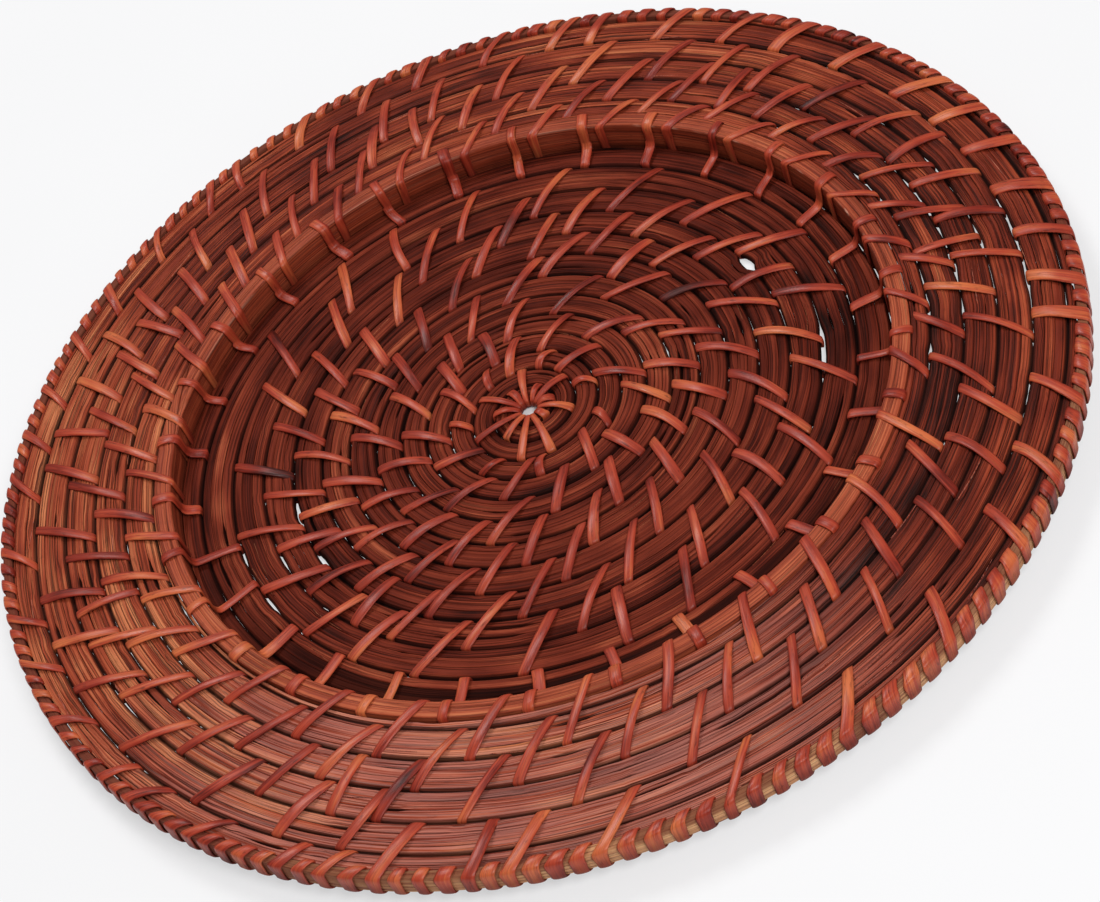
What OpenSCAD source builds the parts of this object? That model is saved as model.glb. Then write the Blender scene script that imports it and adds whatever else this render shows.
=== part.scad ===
// Coiled cane charger plate: a flat well and a raised flat rim, each a spiral coil of splints,
// a step hoop standing between them, an edge hoop round the rim, and loops of cane that lace it all.
// Millimetres, +Z up, the table at z = 0 and the centre of the plate on the z axis.

/* [Charger] */
// Diameter over the bound edge
charger_d = 330; // [324:1:336]
// Diameter inside the step hoop, the flat where a plate sits
well_d = 219.8; // [216:0.2:224]
// Height of the rim above the well, top face to top face
rim_rise = 8.5; // [6:0.5:14]
// Thickness of the splints the coils are made of
coil_t = 3.2; // [2.4:0.1:4]

/* [Coils] */
// Gap between two turns, where the lacing passes through
seam_gap = 1.1; // [1.1:0.05:1.4]
// Fine line between the splints of one turn
strand_gap = 0.12; // [0.08:0.02:0.3]
// Diameter of the hole left at the start of the well coil
hub_hole_d = 8; // [8:0.1:8.6]
// Share of the well coil's growth that is even, the rest widens outward
even_share = 0.73; // [0.72:0.01:0.76]
// Width at which a tapering splint is cut off
tip_w = 0.8; // [0.6:0.1:1.2]

/* [Hoops] */
// Radial thickness of the step hoop
step_hoop_w = 5.3; // [4.4:0.1:5.8]
// Radial thickness of the edge hoop
edge_hoop_w = 2.8; // [2.2:0.1:3.4]
// Height of the edge hoop
edge_hoop_h = 6.6; // [4.6:0.2:8]
// Length of the slanting joint where the ends of a hoop meet
scarf_l = 36; // [26:1:44]
// Width of the open line in that joint
scarf_gap = 0.3; // [0.2:0.05:0.5]

/* [Lacing cane] */
// Thickness of the cane
strip_t = 0.8; // [0.6:0.05:0.85]
// Width of the cane
strip_w = 2.8; // [2.2:0.1:2.9]
// Width of the cane at the outer end of the loops that start in the hole
hub_strip_w = 2.2; // [1.8:0.1:2.3]
// Width of the cane where those loops meet in the hole
hub_end_w = 1.3; // [1:0.05:1.35]
// Air between the cane and what it passes
fit_gap = 0.1; // [0.06:0.01:0.12]

/* [Hidden] */
strands = 3;
well_turns = 12.74;
rim_turns = 4.74;
well_twist = 85;
rim_twist = 150;
well_first_turn = 0.6;
rim_first_turn = 0.5;
hub_loops = 13;
hub_slant = 4;
ties = 30;
edge_longs = 44;
edge_wraps = 157;
well_loop_share = 0.2378;
rim_loop_share = 0.1493;
round_part = 0.3;
same_space = 0.001;
fine_step = 0.01;
slant_share = 0.46;
rim_slant_share = 0.38;
hoop_slant_share = 0.35;
tie_share = 0.63;
side_share = 0.28;
room_share = 0.21;
third_round_slant = 10;
end_turns = 0.5;
tip_step = 10;
turn = 360;
step_scarf_a = 150;
edge_scarf_a = 24;
curve_fn = 160;

half = turn / 2;
lace = strip_t + fit_gap;
step_ri = well_d / 2;
step_ro = step_ri + step_hoop_w;
edge_ro = charger_d / 2 - lace;
edge_ri = edge_ro - edge_hoop_w;
wrap_r = edge_ro + fit_gap + strip_t / 2;
hub_r = (hub_hole_d - seam_gap) / 2;
well_end = step_ri - seam_gap / 2;
rim_begin = step_ro + seam_gap / 2;
rim_end = edge_ri - seam_gap / 2;
well_z = lace;
well_top = well_z + coil_t;
well_lace_top = well_top + lace;
rim_top = well_top + rim_rise;
rim_z = rim_top - coil_t;
rim_lace_z = rim_z - lace;
rim_lace_top = rim_top + lace;
edge_z = rim_top - edge_hoop_h;
edge_lace_z = edge_z - lace;
narrow_w = (hub_strip_w + strip_w) / 2 - fit_gap;

// Seams, by turns from the start of a coil
function well_grow(s) = even_share * s + (1 - even_share) * s * s;
function seam_at(well, t) = well ? hub_r + (well_end - hub_r) * well_grow(t / well_turns)
                                 : rim_begin + (rim_end - rim_begin) * t / rim_turns;
function first_r(well) = well ? hub_r : rim_begin;
function last_r(well) = well ? well_end : rim_end;
function turns_of(well) = well ? well_turns : rim_turns;
function twist_of(well) = well ? well_twist : rim_twist;

// Each half turn is one arc about a centre on the x axis: [centre, radius] from its two end radii
function arc_of(k, r0, r1) = [(k % 2 == 0 ? r0 - r1 : r1 - r0) / 2, (r0 + r1) / 2];
function seam_arc(well, k) = arc_of(k, seam_at(well, k / 2), seam_at(well, (k + 1) / 2));
function on_arc(c, a) = c[0] * cos(a) + sqrt(pow(c[1], 2) - pow(c[0] * sin(a), 2));
function lean_on(c, a) = atan(-c[0] * sin(a) / on_arc(c, a));
function seam_r(well, a) = a < 0 ? first_r(well) : on_arc(seam_arc(well, floor(a / half)), a);
function seam_lean(well, a) = a < 0 ? 0 : lean_on(seam_arc(well, floor(a / half)), a);

// A station is where the cane turns down: [radius, angle round the plate, lean of the seam]
function on_seam(well, a) = [seam_r(well, a), a + twist_of(well), seam_lean(well, a)];
function moved(s, d) = [s[0] + d, s[1], s[2]];
function between(s, e, r) = [r, s[1] + (e[1] - s[1]) * (r - s[0]) / (e[0] - s[0]), 0];
function across(s, d) = [s[0] * cos(s[1]) - d * sin(s[1] - s[2]), s[0] * sin(s[1]) + d * cos(s[1] - s[2])];
function plan(s, sw, e, ew) = [across(s, -sw / 2), across(e, -ew / 2), across(e, ew / 2), across(s, sw / 2)];

// One round of loops from the round before: each falls between two, the widest spaces take a pair
function spaces(p, close) = [for (i = [0 : len(p) - 1]) (i < len(p) - 1 ? p[i + 1] : close) - p[i]];
function part_of(s, e, n) = floor(e * (len(s) - 2) / n);
function largest(s, i0, i1) = max([for (i = [i0 : i1]) s[i]]);
function widest(s, i0, i1) = [for (i = [i0 : i1]) if (s[i] > largest(s, i0, i1) - same_space) i][0];
function chosen(s, n) = [for (e = [0 : 1 : n - 1]) widest(s, part_of(s, e, n) + 1, part_of(s, e + 1, n))];
function splits(i, list) = len([for (v = list) if (v == i) v]) > 0;
function shares(i, list) = splits(i, list) ? [side_share, 1 - side_share] : [1 / 2];
function filled(p, s, list) = [for (i = [0 : len(p) - 1]) for (f = shares(i, list)) p[i] + f * s[i] + turn];
function open_spaces(p) = spaces(p, turn + (p[0] + p[1]) / 2);
function next_round(p, n) = filled(p, open_spaces(p), chosen(open_spaces(p), n));
function missing(p, goal) = max(0, round(goal) - len(p));
function goal(r, last, share) = turn * PI / half * r / last / share;
function well_goal(k) = goal(seam_at(true, k + well_first_turn + round_part), well_end, well_loop_share);
function rim_goal(k) = goal(seam_at(false, k + rim_first_turn), rim_end, rim_loop_share);
function add_well(p, k) = next_round(p, missing(p, well_goal(k)));
function add_rim(p, k) = next_round(p, missing(p, rim_goal(k)));
function before_end(p, well) = [for (a = p) if (a < (turns_of(well) - end_turns) * turn) a];

hub_step = turn / hub_loops;
hub_first = well_first_turn * turn;
well_1 = [for (i = [0 : 2 : hub_loops - 3]) hub_first + i * hub_step];
second_places = concat([for (i = [1 : 2 : hub_loops - 2]) i], [hub_loops - 1]);
well_2 = [for (i = second_places) hub_first + turn + i * hub_step];
well_3 = add_well(well_2, 2);
well_4 = add_well(well_3, 3);
well_5 = add_well(well_4, 4);
well_6 = add_well(well_5, 5);
well_7 = add_well(well_6, 6);
well_8 = add_well(well_7, 7);
well_9 = add_well(well_8, 8);
well_10 = add_well(well_9, 9);
well_11 = add_well(well_10, 10);
all_rounds = [well_1, well_2, well_3, well_4, well_5, well_6, well_7, well_8, well_9, well_10, well_11];
well_rounds = [for (p = all_rounds) before_end(p, true)];
well_all = [for (p = well_rounds) for (a = p) a];
step_round = [for (i = [0 : ties - 1]) rim_first_turn * turn + i * turn / ties];
rim_1 = next_round(step_round, 0);
rim_2 = add_rim(rim_1, 2);
rim_3 = add_rim(rim_2, 3);
rim_rounds = [for (p = [rim_1, rim_2, rim_3]) before_end(p, false)];
rim_all = concat(step_round, [for (p = rim_rounds) for (a = p) a]);

// The cane turns down in a seam clear of the loops that are already there
function near(list, a, room) = [for (v = list) if (abs(v - a) < room) v];
function pushed(v, a, room) = a < v ? v - room : v + room;
function clear_of(list, a, room) = len(near(list, a, room)) > 0 ? pushed(near(list, a, room)[0], a, room) : a;
function room_at(r, w) = w * (1 + room_share) / r * half / PI;
function well_inner(a, s, w) = clear_of(well_all, a + s, room_at(seam_r(true, a), w));
function slant_in(p, i, r, back) = slant_share * open_spaces(p)[i] * seam_r(true, p[i] - back) / r;

// Solid between two stations, and the same a cane wider for cutting
module block(s, sw, e, ew, z0, z1) {
  translate([0, 0, z0]) linear_extrude(height = z1 - z0) polygon(plan(s, sw, e, ew));
}
module cut(s, e, w, z0, z1) block(s, 2 * w, e, 2 * w, z0, z1);

// A flat loop of cane round a coil, from the seam outside it to the seam inside it
module flat_loop(s, sw, e, ew, z0, z1) {
  difference() {
    block(moved(s, strip_t / 2), sw, moved(e, -strip_t / 2), ew, z0, z1);
    cut(moved(s, -strip_t / 2), moved(e, strip_t / 2), sw, z0 + strip_t, z1 - strip_t);
  }
}

// Rounds of the well, the first two from the hole
module hub_round(k, w) {
  for (a = well_rounds[k])
    flat_loop(on_seam(true, a), w, [hub_r, a + well_twist + hub_slant, 0], hub_end_w, 0, well_lace_top);
}
module well_round(k, w, turns_in) {
  p = well_rounds[k];
  back = turns_in * turn;
  for (i = [0 : len(p) - 1]) {
    r = seam_r(true, p[i]);
    slant = turns_in == 1 ? third_round_slant : slant_in(p, i, r, back);
    e = on_seam(true, well_inner(p[i] - back, slant, w));
    flat_loop(on_seam(true, p[i]), w, e, w, 0, well_lace_top);
  }
}

// Short loops over the step hoop that also hold the last turn of the well
last_well = (well_turns - end_turns - 1) * turn;
function well_under(a) = last_well + (a - last_well) - turn * floor((a - last_well) / turn);
module hoop_loop(a) {
  s = [rim_begin, a, 0];
  hoop_mid = (step_ri + step_ro) / 2;
  under = well_under(a - well_twist);
  in_well = clear_of(well_all, under, room_at(seam_r(true, under), strip_w));
  found = on_seam(true, in_well);
  e = [found[0], a + found[1] - turn * round((found[1] - a) / turn) - a, found[2]];
  at_hoop = between(s, e, well_end);
  difference() {
    block(moved(s, strip_t / 2), strip_w, moved(e, -strip_t / 2), strip_w, 0, rim_lace_top);
    cut(moved(at_hoop, -strip_t / 2), moved(e, -strip_t), strip_w, well_lace_top, rim_lace_top + strip_t);
    cut(moved(s, -strip_t / 2), moved(at_hoop, strip_t / 2), strip_w,
        strip_t, rim_lace_top - strip_t);
    cut(between(s, e, hoop_mid), moved(e, strip_t / 2), strip_w, strip_t, well_lace_top - strip_t);
  }
}

// Long loops from the first rim seam over the step hoop and under it
module step_loop(a) {
  s = on_seam(false, a);
  e = [well_end, s[1] + hoop_slant_share * turn / ties, 0];
  hoop_mid = (step_ri + step_ro) / 2;
  at_hoop = between(s, e, rim_begin);
  difference() {
    block(moved(s, strip_t / 2), strip_w, moved(e, -strip_t / 2), strip_w, 0, rim_lace_top);
    cut(moved(s, strip_t), moved(at_hoop, strip_t / 2), strip_w, -strip_t, rim_lace_z);
    cut(moved(at_hoop, -strip_t / 2), moved(e, strip_t / 2), strip_w,
        strip_t, rim_lace_top - strip_t);
    cut(moved(s, -strip_t / 2), between(s, e, hoop_mid), strip_w,
        rim_lace_z + strip_t, rim_lace_top - strip_t);
  }
}

// Rounds of the rim
module rim_round(p) {
  s = spaces(p, 2 * p[len(p) - 1] - p[len(p) - 2]);
  for (i = [0 : len(p) - 1]) {
    slant = rim_slant_share * s[i];
    inner = p[i] + slant - 2 * turn;
    e = inner < 0 ? [rim_begin, inner + rim_twist, 0]
                  : on_seam(false, clear_of(rim_all, inner, room_at(rim_begin, strip_w)));
    flat_loop(on_seam(false, p[i]), strip_w, e, strip_w, rim_lace_z, rim_lace_top);
  }
}

// Binding of the edge hoop: long loops that also hold the last rim turn, short ones between them
last_rim = (rim_turns - end_turns - 1) * turn;
last_posts = [for (a = rim_all) if (a >= last_rim) a];
long_from = filled(last_posts, spaces(last_posts, last_posts[0] + turn),
                   chosen(spaces(last_posts, last_posts[0] + turn), edge_longs - len(last_posts)));
edge_long = [for (a = long_from) a - turn];
edge_spaces = spaces(edge_long, edge_long[0] + turn);
function edge_slant(i) = rim_slant_share * edge_spaces[i];
module edge_loop(a, slant) {
  inner = on_seam(false, a);
  s = [wrap_r, a + rim_twist - slant, 0];
  e = [inner[0], s[1] + slant, inner[2]];
  at_hoop = between(s, e, rim_end);
  edge_mid = (edge_ri + edge_ro) / 2;
  difference() {
    block(moved(s, strip_t / 2), strip_w, moved(e, -strip_t / 2), strip_w, edge_lace_z, rim_lace_top);
    cut(moved(at_hoop, -strip_t / 2), moved(e, -strip_t), strip_w, edge_lace_z - strip_t, rim_lace_z);
    cut(moved(s, -strip_t / 2), moved(at_hoop, strip_t / 2), strip_w,
        edge_lace_z + strip_t, rim_lace_top - strip_t);
    cut(between(s, e, edge_mid), moved(e, strip_t / 2), strip_w,
        rim_lace_z + strip_t, rim_lace_top - strip_t);
  }
}
module short_wrap(a, slant) {
  flat_loop([wrap_r, a, 0], strip_w, [rim_end, a + slant, 0], strip_w, edge_lace_z, rim_lace_top);
}

// Splints: each strand of a coil lies between two lines that share the turn out evenly
function in_steps(v) = round(v / fine_step) * fine_step;
function line_at(well, t, f, d) = in_steps((1 - f) * seam_at(well, t) + f * seam_at(well, t + 1) + d);
function in_line(well, t, j) = line_at(well, t, j / strands, j == 0 ? seam_gap / 2 : strand_gap / 2);
function out_off(j) = j == strands - 1 ? -seam_gap / 2 : -strand_gap / 2;
function out_line(well, t, j) = line_at(well, t, (j + 1) / strands, out_off(j));
function from_r(well) = first_r(well) + seam_gap / 2;
function to_r(well) = last_r(well) - seam_gap / 2;
function steps_of(well) = [-turn : tip_step : turns_of(well) * turn];
function starts_list(well, j) =
  [for (a = steps_of(well)) if (out_line(well, a / turn, j) > from_r(well) + tip_w) a];
function starts(well, j) = starts_list(well, j)[0];
function ends_list(well, j) =
  [for (a = steps_of(well)) if (in_line(well, a / turn, j) < to_r(well) - tip_w) a];
function ends(well, j) = ends_list(well, j)[len(ends_list(well, j)) - 1];
function tip(a) = [charger_d * cos(a), charger_d * sin(a)];

module arc_disc(k, r0, r1) {
  c = arc_of(k, r0, r1);
  translate([c[0], 0]) circle(r = c[1], $fn = curve_fn);
}
module strand_part(well, j, k, a0, a1) {
  intersection() {
    difference() {
      arc_disc(k, out_line(well, k / 2, j), out_line(well, (k + 1) / 2, j));
      if (in_line(well, k / 2, j) > 0)
        arc_disc(k, in_line(well, k / 2, j), in_line(well, (k + 1) / 2, j));
    }
    difference() {
      circle(r = to_r(well), $fn = curve_fn);
      circle(r = from_r(well), $fn = curve_fn);
    }
    polygon([[0, 0], tip(a0), tip((2 * a0 + a1) / 3), tip((a0 + 2 * a1) / 3), tip(a1)]);
  }
}
module strand(well, j, z) {
  a0 = starts(well, j);
  a1 = ends(well, j);
  translate([0, 0, z]) rotate([0, 0, twist_of(well)]) linear_extrude(height = coil_t)
    for (k = [floor(a0 / half) : ceil(a1 / half) - 1])
      strand_part(well, j, k, max(a0, k * half), min(a1, (k + 1) * half));
}

// A hoop bent round from one strip, its ends cut to a long slant and laid together
module hoop(ri, ro, z0, z1, scarf_a) {
  mid = (ri + ro) / 2;
  over = ro - ri + strip_t;
  translate([0, 0, z0]) linear_extrude(height = z1 - z0) difference() {
    circle(r = ro, $fn = curve_fn);
    circle(r = ri, $fn = curve_fn);
    rotate([0, 0, scarf_a]) translate([mid, 0])
      polygon([[over / 2, -scarf_l / 2], [over / 2, scarf_gap - scarf_l / 2],
               [-over / 2, scarf_l / 2], [-over / 2, scarf_l / 2 - scarf_gap]]);
  }
}

module well_splint_inner() color("#6f3326") strand(true, 0, well_z);
module well_splint_middle() color("#77382a") strand(true, 1, well_z);
module well_splint_outer() color("#703527") strand(true, 2, well_z);
module rim_splint_inner() color("#8a452f") strand(false, 0, rim_z);
module rim_splint_middle() color("#924b33") strand(false, 1, rim_z);
module rim_splint_outer() color("#8b4630") strand(false, 2, rim_z);
module step_hoop() color("#a04f30") hoop(step_ri, step_ro, well_z, rim_top, step_scarf_a);
module edge_hoop() color("#b08a5c") hoop(edge_ri, edge_ro, edge_z, rim_top, edge_scarf_a);
module well_lacing_1() color("#a9492c") hub_round(0, hub_strip_w);
module well_lacing_2() color("#a9492c") hub_round(1, hub_strip_w);
module well_lacing_3() color("#a9492c") well_round(2, narrow_w, 1);
module well_lacing_4() color("#a9492c") well_round(3, strip_w, 2);
module well_lacing_5() color("#a9492c") well_round(4, strip_w, 2);
module well_lacing_6() color("#a9492c") well_round(5, strip_w, 2);
module well_lacing_7() color("#a9492c") well_round(6, strip_w, 2);
module well_lacing_8() color("#a9492c") well_round(7, strip_w, 2);
module well_lacing_9() color("#a9492c") well_round(8, strip_w, 2);
module well_lacing_10() color("#a9492c") well_round(9, strip_w, 2);
module well_lacing_11() color("#a9492c") well_round(10, strip_w, 2);
module hoop_lacing() color("#b04d2c") {
  for (i = [0 : ties - 1]) hoop_loop(rim_twist + (rim_first_turn * ties + i + tie_share) * turn / ties);
}
module step_lacing() color("#b3502d") for (a = step_round) step_loop(a);
module rim_lacing_1() color("#b3502d") rim_round(rim_rounds[0]);
module rim_lacing_2() color("#b3502d") rim_round(rim_rounds[1]);
module rim_lacing_3() color("#b3502d") rim_round(rim_rounds[2]);
module edge_lacing() color("#b3502d") {
  for (i = [0 : len(edge_long) - 1]) edge_loop(edge_long[i], edge_slant(i));
}
module edge_wrap() color("#a9492c") {
  for (i = [0 : len(edge_long) - 1]) {
    i1 = (i + 1) % len(edge_long);
    s0 = edge_long[i] - edge_slant(i);
    step = edge_spaces[i] + edge_slant(i) - edge_slant(i1);
    n = max(1, round(step * edge_wraps / turn));
    for (m = [1 : 1 : n - 1]) {
      reach = (wrap_r - rim_end) / (wrap_r - seam_r(false, edge_long[i] + step * m / n));
      short_wrap(rim_twist + s0 + step * m / n, reach * (edge_slant(i) * (n - m) + edge_slant(i1) * m) / n);
    }
  }
}

well_splint_inner();
well_splint_middle();
well_splint_outer();
rim_splint_inner();
rim_splint_middle();
rim_splint_outer();
step_hoop();
edge_hoop();
well_lacing_1();
well_lacing_2();
well_lacing_3();
well_lacing_4();
well_lacing_5();
well_lacing_6();
well_lacing_7();
well_lacing_8();
well_lacing_9();
well_lacing_10();
well_lacing_11();
hoop_lacing();
step_lacing();
rim_lacing_1();
rim_lacing_2();
rim_lacing_3();
edge_lacing();
edge_wrap();
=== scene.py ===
import math

import bpy
import numpy as np
from mathutils import Matrix


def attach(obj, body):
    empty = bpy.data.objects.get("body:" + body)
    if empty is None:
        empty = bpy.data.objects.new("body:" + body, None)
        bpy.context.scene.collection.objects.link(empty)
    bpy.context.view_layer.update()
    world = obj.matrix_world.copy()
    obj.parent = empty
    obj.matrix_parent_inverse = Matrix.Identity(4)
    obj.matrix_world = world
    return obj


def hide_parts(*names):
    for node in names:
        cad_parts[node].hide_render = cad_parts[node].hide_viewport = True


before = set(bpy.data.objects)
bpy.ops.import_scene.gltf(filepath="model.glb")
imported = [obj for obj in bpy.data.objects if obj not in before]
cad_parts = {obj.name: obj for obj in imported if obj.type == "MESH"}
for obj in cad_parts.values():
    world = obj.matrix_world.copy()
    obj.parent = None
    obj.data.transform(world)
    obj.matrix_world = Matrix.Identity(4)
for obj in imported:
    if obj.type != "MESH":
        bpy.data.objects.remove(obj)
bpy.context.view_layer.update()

# A coiled cane charger plate: splints coiled flat for the well and the rim, two hoops, and cane lacing.
# The plate is worked out in millimetres on the axes of the frame, and scaled when a mesh is made.
MM = 0.001
TURN = 360.0
HALF = 180.0

# Sizes of the plate and its cane
CHARGER_R = 165.0
WELL_R = 109.9
STEP_HOOP_W = 5.3
EDGE_HOOP_W = 2.8
EDGE_HOOP_H = 6.6
HUB_R = 3.45
SEAM_GAP = 1.1
COIL_T = 3.2
RIM_RISE = 8.5
CANE_T = 0.8
CANE_W = 2.8
HUB_CANE_W = 2.2
HUB_END_W = 1.3
FIT = 0.1
LACE = CANE_T + FIT

STEP_HOOP_R = WELL_R + STEP_HOOP_W
EDGE_HOOP_R = CHARGER_R - LACE
WRAP_R = EDGE_HOOP_R + FIT + CANE_T / 2
WELL_END = WELL_R - SEAM_GAP / 2
RIM_BEGIN = STEP_HOOP_R + SEAM_GAP / 2
RIM_END = EDGE_HOOP_R - EDGE_HOOP_W - SEAM_GAP / 2
WELL_TOP = LACE + COIL_T
RIM_TOP = WELL_TOP + RIM_RISE
RIM_LOW = RIM_TOP - COIL_T

# How the loops are spaced and slanted
WELL_FIRST_TURN = 0.6
RIM_FIRST_TURN = 0.5
WELL_ROUNDS = 11
HUB_ROUNDS = 2
HUB_LOOPS = 13
HUB_SLANT = 4.0
TIES = 30
EDGE_LONGS = 44
EDGE_WRAPS = 157
WELL_LOOP_SHARE = 0.2378
RIM_LOOP_SHARE = 0.1493
ROUND_PART = 0.3
SLANT = 0.46
RIM_SLANT = 0.38
HOOP_SLANT = 0.35
TIE_SHARE = 0.63
SIDE_SHARE = 0.28
ROOM_SHARE = 0.21
THIRD_SLANT = 10.0
STEP_CROSSING = 0.6
EDGE_CROSSING = 0.7


# The plan of the coils and the lacing

class Coil:
    """A spiral of turns, each half turn an arc; places are given in degrees from the coil's start"""

    def __init__(self, first, last, turns, twist, even):
        self.first, self.last, self.turns, self.twist, self.even = first, last, turns, twist, even

    def seam(self, t):
        s = t / self.turns
        return self.first + (self.last - self.first) * (self.even * s + (1 - self.even) * s * s)

    def arc(self, a):
        k = np.floor(np.asarray(a, float) / HALF)
        start, end = self.seam(k / 2), self.seam((k + 1) / 2)
        centre = np.where(k % 2 == 0, start - end, end - start) / 2
        return centre, (start + end) / 2

    def free_radius(self, a):
        centre, radius = self.arc(a)
        turn = np.radians(a)
        return centre * np.cos(turn) + np.sqrt(np.maximum(radius ** 2 - (centre * np.sin(turn)) ** 2, 0))

    def radius(self, a):
        return self.first if a < 0 else float(self.free_radius(a))

    def lean(self, a):
        if a < 0:
            return 0.0
        return math.degrees(math.atan(-float(self.arc(a)[0]) * math.sin(math.radians(a)) / self.radius(a)))

    def place(self, a):
        """Where the cane turns down in a seam: radius, angle round the plate, lean of the seam"""
        return self.radius(a), a + self.twist, self.lean(a)


WELL = Coil(HUB_R, WELL_END, turns=12.74, twist=85.0, even=0.73)
RIM = Coil(RIM_BEGIN, RIM_END, turns=4.74, twist=150.0, even=1.0)


def nearest(x):
    return math.floor(x + 0.5)


def spaces(places, close):
    return [b - a for a, b in zip(places, places[1:] + [close])]


def widest_spaces(gaps, wanted):
    """The widest space in each of the wanted runs of spaces, the first and the last space left out"""
    inside = len(gaps) - 2
    found = []
    for run in range(wanted):
        first, last = 1 + run * inside // wanted, (run + 1) * inside // wanted
        widest = max(gaps[first:last + 1])
        found.append(next(i for i in range(first, last + 1) if gaps[i] > widest - 0.001))
    return found


def filled(places, gaps, doubled):
    """The round outside these places: one loop in each space, two in a doubled one"""
    return [p + f * gaps[i] + TURN for i, p in enumerate(places)
            for f in ((SIDE_SHARE, 1 - SIDE_SHARE) if i in doubled else (0.5,))]


def next_round(places, more):
    gaps = spaces(places, TURN + (places[0] + places[1]) / 2)
    return filled(places, gaps, widest_spaces(gaps, more))


def grown(places, count):
    return next_round(places, max(0, nearest(count) - len(places)))


def before_end(places, coil):
    return [a for a in places if a < (coil.turns - 0.5) * TURN]


def well_rounds():
    step, first = TURN / HUB_LOOPS, WELL_FIRST_TURN * TURN
    rounds = [[first + i * step for i in range(0, HUB_LOOPS - 2, 2)],
              [first + TURN + i * step for i in (*range(1, HUB_LOOPS - 1, 2), HUB_LOOPS - 1)]]
    for k in range(HUB_ROUNDS, WELL_ROUNDS):
        seam = float(WELL.seam(k + WELL_FIRST_TURN + ROUND_PART))
        rounds.append(grown(rounds[-1], 2 * math.pi * seam / WELL_END / WELL_LOOP_SHARE))
    return [before_end(places, WELL) for places in rounds]


def rim_rounds():
    ties = [RIM_FIRST_TURN * TURN + i * TURN / TIES for i in range(TIES)]
    rounds = [ties, next_round(ties, 0)]
    for k in (2, 3):
        seam = float(RIM.seam(k + RIM_FIRST_TURN))
        rounds.append(grown(rounds[-1], 2 * math.pi * seam / RIM_END / RIM_LOOP_SHARE))
    return [ties] + [before_end(places, RIM) for places in rounds[1:]]


def clear_of(others, a, room):
    """The place moved along the seam, clear of the loops that are already there"""
    close = [b for b in others if abs(b - a) < room]
    if not close:
        return a
    return close[0] - room if a < close[0] else close[0] + room


def room_at(radius, width):
    return math.degrees(width * (1 + ROOM_SHARE) / radius)


def loop(outer, inner, kind="flat", widths=(CANE_W, CANE_W)):
    """A loop between two seams: at each a radius, an angle and a lean, and the width of the cane"""
    return dict(outer=outer, inner=inner, kind=kind, widths=widths)


def plan_well(lacing, through, rounds, in_well):
    """Loops from the hub to the first two seams, then rounds that reach back over one turn or two"""
    for k, places in enumerate(rounds):
        row = lacing["well_lacing_%d" % (k + 1)] = []
        if k < HUB_ROUNDS:
            for a in places:
                hub = (HUB_R, a + WELL.twist + HUB_SLANT, 0)
                row.append(loop(WELL.place(a), hub, "hub", (HUB_CANE_W, HUB_END_W)))
            continue
        third = k == HUB_ROUNDS
        width = (HUB_CANE_W + CANE_W) / 2 - FIT if third else CANE_W
        for a, gap in zip(places, spaces(places, TURN + (places[0] + places[1]) / 2)):
            back = a - (TURN if third else 2 * TURN)
            slant = THIRD_SLANT if third else SLANT * gap * WELL.radius(back) / WELL.radius(a)
            end = clear_of(in_well, back + slant, room_at(WELL.radius(back), width))
            row.append(loop(WELL.place(a), WELL.place(end), widths=(width, width)))
            through["well"].append(end)


def plan_ties(lacing, through, places, in_well):
    """Short and long lashings of the step hoop, to the well's last turn and the rim's first"""
    last_well = (WELL.turns - 1.5) * TURN
    lacing["hoop_lacing"], lacing["step_lacing"] = [], []
    for i in range(TIES):
        a = RIM.twist + (RIM_FIRST_TURN * TIES + i + TIE_SHARE) * TURN / TIES
        under = a - WELL.twist - TURN * math.floor((a - WELL.twist - last_well) / TURN)
        under = clear_of(in_well, under, room_at(WELL.radius(under), CANE_W))
        r, angle, lean = WELL.place(under)
        inner = (r, angle - TURN * nearest((angle - a) / TURN), lean)
        lacing["hoop_lacing"].append(loop((RIM_BEGIN, a, 0), inner, "hoop"))
        through["well"].append(under)
        through["rim_begin"].append(a)
        through["well_end"].append(a)
    for a in places:
        outer = RIM.place(a)
        slant = HOOP_SLANT * TURN / TIES
        lacing["step_lacing"].append(loop(outer, (WELL_END, outer[1] + slant, 0), "step"))
        through["well_end"].append(outer[1] + slant)
        through["rim_begin"].append(outer[1] + slant * STEP_CROSSING)


def plan_rim(lacing, through, rounds, in_rim):
    """Rounds that reach back over two turns of the rim, or as far as the step hoop"""
    for k, places in enumerate(rounds):
        row = lacing["rim_lacing_%d" % (k + 1)] = []
        for a, gap in zip(places, spaces(places, 2 * places[-1] - places[-2])):
            end = a + RIM_SLANT * gap - 2 * TURN
            if end < 0:
                row.append(loop(RIM.place(a), (RIM_BEGIN, end + RIM.twist, 0)))
                through["rim_begin"].append(end + RIM.twist)
            else:
                end = clear_of(in_rim, end, room_at(RIM_BEGIN, CANE_W))
                row.append(loop(RIM.place(a), RIM.place(end)))
                through["rim"].append(end)


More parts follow.
